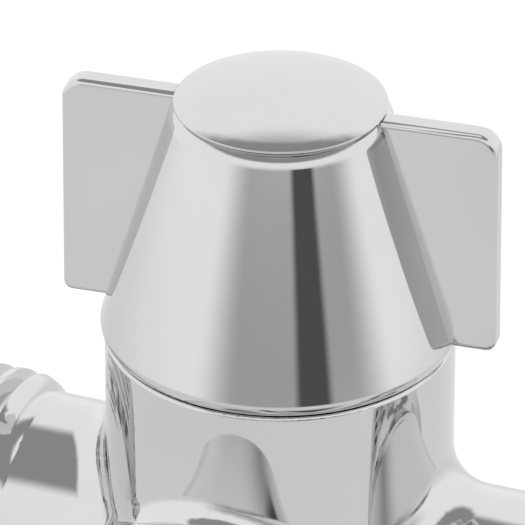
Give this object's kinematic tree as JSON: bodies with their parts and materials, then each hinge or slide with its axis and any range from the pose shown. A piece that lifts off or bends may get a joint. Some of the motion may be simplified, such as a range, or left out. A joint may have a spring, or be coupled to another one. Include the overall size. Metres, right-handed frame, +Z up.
{
  "type": "angle stop valve",
  "caption": "Chromed stop valve with a winged conical handle over the bonnet, a female-threaded inlet and two opposed male-threaded outlet arms.",
  "frame": {"origin": "centre of the inlet's mouth, on the inlet's axis", "axes": "+Z up the spindle to the handle; -Y out of the inlet's mouth; +X along the right-hand outlet arm"},
  "size_m": [0.0695, 0.0388, 0.0547],
  "materials": {
    "chrome_body": "polished chrome plate over forged brass",
    "chrome_handle": "polished chrome plate over die-cast zinc",
    "chrome_cap": "polished chrome plate",
    "brass": "machined brass, light tool marks",
    "spindle_brass": "turned brass, greased",
    "stainless": "stainless steel, fine brushed",
    "screw_steel": "zinc-plated steel",
    "black_rubber": "matte black nitrile rubber",
    "washer_rubber": "dark EPDM rubber",
    "fibre": "red-brown fibre sheet",
    "grey_acetal": "dark grey acetal",
    "white_acetal": "natural acetal"
  },
  "bodies": {
    "body": {"valve_body": "chrome_body", "headwork_body": "brass", "headwork_gasket": "fibre", "thrust_washer": "white_acetal", "seat_ring": "stainless", "inlet_strainer": "stainless", "strainer_ring": "stainless", "glide_ring": "grey_acetal"},
    "handle_set": {"spindle": "spindle_brass", "spindle_o_ring_lower": "black_rubber", "spindle_o_ring_upper": "black_rubber", "spindle_clip": "stainless", "handle": "chrome_handle", "spline_insert": "white_acetal", "index_cap": "chrome_cap", "lock_washer": "screw_steel", "handle_screw": "screw_steel"},
    "piston_set": {"piston": "brass", "piston_seal": "black_rubber", "seat_washer": "washer_rubber", "washer_plate": "stainless", "washer_screw": "brass"}
  },
  "joints": [
    {"name": "handle_turn", "type": "hinge", "parent": "body", "child": "handle_set", "pos_m": [0, 0.026, 0.02], "axis": [0, 0, 1], "range_deg": [0, 900]},
    {"name": "piston_lift", "type": "slide", "parent": "body", "child": "piston_set", "axis": [0, 0, 1], "range_m": [0, 0.00375]}
  ],
  "couplings": [
    {"joint": "piston_lift", "follows": "handle_turn", "m_per_rad": 0.00023873}
  ]
}
